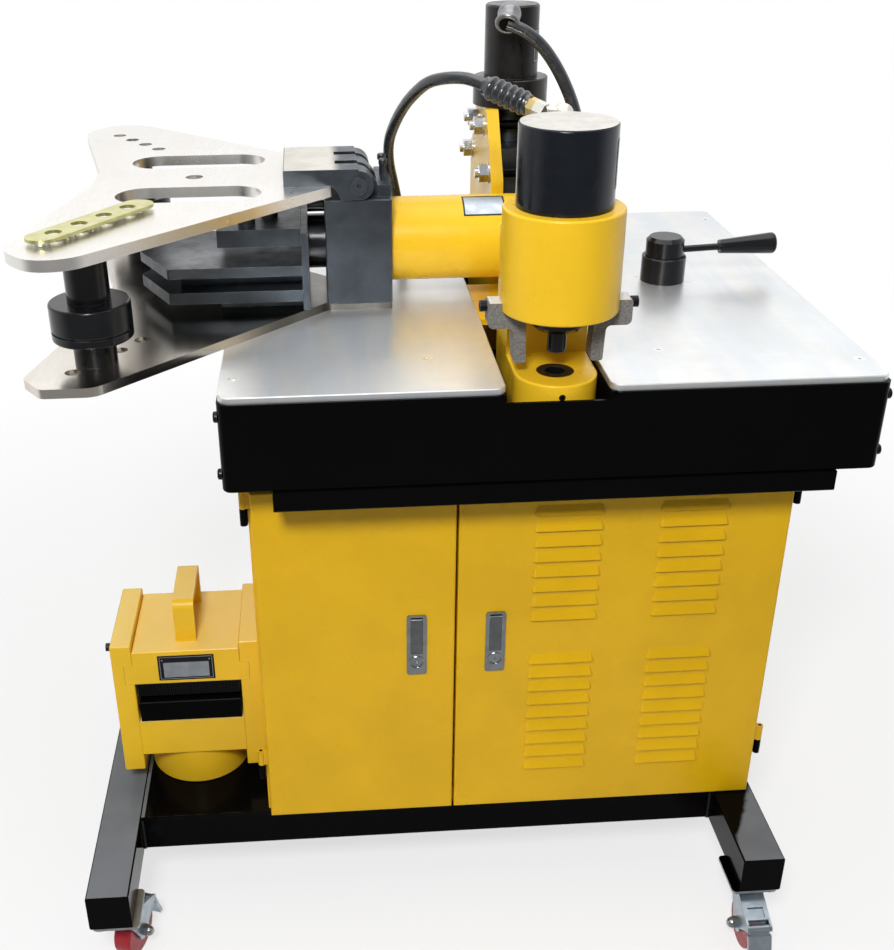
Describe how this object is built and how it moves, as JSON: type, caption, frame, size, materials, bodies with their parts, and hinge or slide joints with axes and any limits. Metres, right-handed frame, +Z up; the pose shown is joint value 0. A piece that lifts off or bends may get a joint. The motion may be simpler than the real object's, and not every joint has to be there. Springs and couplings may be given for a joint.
{
  "type": "busbar processing machine",
  "caption": "Wheeled hydraulic workshop machine that punches, shears, bends and embosses copper busbar, with a steel worktable over a louvred cabinet.",
  "frame": {"origin": "on the floor, under the middle of the machine's box", "axes": "+Z up, -Y towards the operator at the doors, +X towards the selector lever's side"},
  "size_m": [1.0659, 0.916, 1.254],
  "materials": {
    "yellow_paint": "gloss",
    "black_paint": "gloss",
    "grey_paint": "satin",
    "ground_steel": "ground",
    "blued_steel": "satin",
    "black_oxide": "satin",
    "zinc": "satin",
    "yellow_zinc": "satin",
    "chrome": "polished",
    "cast_grey": "sand cast",
    "red_wheel": "gloss",
    "hose_rubber": "matte",
    "aluminium": "cast"
  },
  "bodies": {
    "frame": {"base_frame": "black_paint", "cabinet_shell": "yellow_paint", "door_hinges": "black_oxide", "table_tray": "black_paint", "table_plate_left": "ground_steel", "table_plate_right": "ground_steel", "gap_plate": "yellow_paint", "screws": "black_oxide", "punch_frame": "yellow_paint", "punch_cylinder": "yellow_paint", "punch_cap": "black_oxide", "punch_die": "black_oxide", "stripper_claws": "cast_grey", "cutter_side_plates": "yellow_paint", "cutter_lower_blade": "blued_steel", "cutter_cylinder": "black_paint", "cutter_bolts": "zinc", "bend_cylinder": "yellow_paint", "bend_head_block": "blued_steel", "bend_lower_plate": "ground_steel", "hinge_base": "blued_steel", "bend_posts": "black_oxide", "emboss_frame": "yellow_paint", "selector_base": "black_oxide", "caster_plates": "zinc", "pump_tank": "grey_paint", "pump_motor": "grey_paint", "valve_manifold": "aluminium", "punch_hose": "hose_rubber", "cutter_hose": "hose_rubber", "hose_boot": "hose_rubber", "hose_fittings": "black_oxide"},
    "door_left_body": {"door_left": "yellow_paint", "lock_left": "chrome"},
    "door_right_body": {"door_right": "yellow_paint", "lock_right": "chrome"},
    "handle_left": {"lock_handle_left": "chrome"},
    "handle_right": {"lock_handle_right": "chrome"},
    "button_left": {"lock_button_left": "chrome"},
    "button_right": {"lock_button_right": "chrome"},
    "punch_ram_body": {"punch_ram": "black_oxide"},
    "cutter_ram_body": {"cutter_ram": "blued_steel"},
    "bend_ram_body": {"bend_ram": "black_oxide", "bend_die": "blued_steel"},
    "bend_top": {"bend_upper_plate": "ground_steel", "index_strip": "yellow_zinc", "hinge_arm": "blued_steel"},
    "roller_front": {"bend_roller_front": "black_oxide"},
    "roller_rear": {"bend_roller_rear": "black_oxide"},
    "selector": {"selector_lever": "black_oxide"},
    "emboss_ram_body": {"emboss_ram": "black_oxide"},
    "emboss_head_body": {"emboss_head": "yellow_paint"},
    "caster_left": {"caster_fork_left": "zinc"},
    "caster_right": {"caster_fork_right": "zinc"},
    "pedal_left": {"caster_pedal_left": "zinc"},
    "pedal_right": {"caster_pedal_right": "zinc"},
    "wheel_fl": {"wheel_front_left": "red_wheel"},
    "wheel_fr": {"wheel_front_right": "red_wheel"},
    "wheel_rl": {"wheel_rear_left": "red_wheel"},
    "wheel_rr": {"wheel_rear_right": "red_wheel"}
  },
  "joints": [
    {"name": "door_left_hinge", "type": "hinge", "parent": "frame", "child": "door_left_body", "pos_m": [-0.2815, -0.251, 0.44], "axis": [0, 0, -1], "range_deg": [0, 105]},
    {"name": "door_right_hinge", "type": "hinge", "parent": "frame", "child": "door_right_body", "pos_m": [0.4615, -0.251, 0.44], "axis": [0, 0, 1], "range_deg": [0, 110]},
    {"name": "handle_left_swing", "type": "hinge", "parent": "door_left_body", "child": "handle_left", "pos_m": [-0.0545, -0.263, 0.505], "axis": [-1, 0, 0], "range_deg": [0, 35]},
    {"name": "handle_right_swing", "type": "hinge", "parent": "door_right_body", "child": "handle_right", "pos_m": [0.0555, -0.263, 0.505], "axis": [-1, 0, 0], "range_deg": [0, 35]},
    {"name": "button_left_press", "type": "slide", "parent": "door_left_body", "child": "button_left", "axis": [0, 1, 0], "range_m": [0, 0.004], "stiffness_N_per_m": 400},
    {"name": "button_right_press", "type": "slide", "parent": "door_right_body", "child": "button_right", "axis": [0, 1, 0], "range_m": [0, 0.004], "stiffness_N_per_m": 400},
    {"name": "punch_stroke", "type": "slide", "parent": "frame", "child": "punch_ram_body", "axis": [0, 0, -1], "range_m": [0, 0.033], "stiffness_N_per_m": 2000, "springref_m": -0.03},
    {"name": "cutter_stroke", "type": "slide", "parent": "frame", "child": "cutter_ram_body", "axis": [0, 0, -1], "range_m": [0, 0.048], "stiffness_N_per_m": 3000, "springref_m": -0.04},
    {"name": "bend_stroke", "type": "slide", "parent": "frame", "child": "bend_ram_body", "axis": [-1, 0, 0], "range_m": [0, 0.1]},
    {"name": "bend_top_hinge", "type": "hinge", "parent": "frame", "child": "bend_top", "pos_m": [-0.112, 0.044, 1.048], "axis": [0, 1, 0], "range_deg": [0, 70]},
    {"name": "roller_front_spin", "type": "hinge", "parent": "frame", "child": "roller_front", "pos_m": [-0.452, -0.2135, 0.94], "axis": [0, 0, 1], "continuous": true},
    {"name": "roller_rear_spin", "type": "hinge", "parent": "frame", "child": "roller_rear", "pos_m": [-0.452, 0.3015, 0.94], "axis": [0, 0, 1], "continuous": true},
    {"name": "selector_turn", "type": "hinge", "parent": "frame", "child": "selector", "pos_m": [0.345, 0.078, 0.92], "axis": [0, 0, 1], "range_deg": [-180, 0]},
    {"name": "emboss_stroke", "type": "slide", "parent": "frame", "child": "emboss_ram_body", "axis": [0, 0, 1], "range_m": [0, 0.011]},
    {"name": "emboss_head_slide", "type": "slide", "parent": "frame", "child": "emboss_head_body", "axis": [0, 1, 0], "range_m": [-0.16, 0]},
    {"name": "caster_left_swivel", "type": "hinge", "parent": "frame", "child": "caster_left", "pos_m": [-0.491, -0.369, 0.09], "axis": [0, 0, 1], "continuous": true},
    {"name": "caster_right_swivel", "type": "hinge", "parent": "frame", "child": "caster_right", "pos_m": [0.426, -0.369, 0.09], "axis": [0, 0, 1], "continuous": true},
    {"name": "pedal_left_swing", "type": "hinge", "parent": "caster_left", "child": "pedal_left", "pos_m": [-0.46808, -0.30604, 0.064], "axis": [0.9397, -0.342, 0], "range_deg": [0, 20]},
    {"name": "pedal_right_swing", "type": "hinge", "parent": "caster_right", "child": "pedal_right", "pos_m": [0.426, -0.436, 0.064], "axis": [-1, 0, 0], "range_deg": [0, 20]},
    {"name": "wheel_fl_spin", "type": "hinge", "parent": "caster_left", "child": "wheel_fl", "pos_m": [-0.48074, -0.34081, 0.0375], "axis": [0.9397, -0.342, 0], "continuous": true},
    {"name": "wheel_fr_spin", "type": "hinge", "parent": "caster_right", "child": "wheel_fr", "pos_m": [0.426, -0.399, 0.0375], "axis": [1, 0, 0], "continuous": true},
    {"name": "wheel_rl_spin", "type": "hinge", "parent": "frame", "child": "wheel_rl", "pos_m": [-0.491, 0.322, 0.0375], "axis": [1, 0, 0], "continuous": true},
    {"name": "wheel_rr_spin", "type": "hinge", "parent": "frame", "child": "wheel_rr", "pos_m": [0.426, 0.322, 0.0375], "axis": [1, 0, 0], "continuous": true}
  ]
}
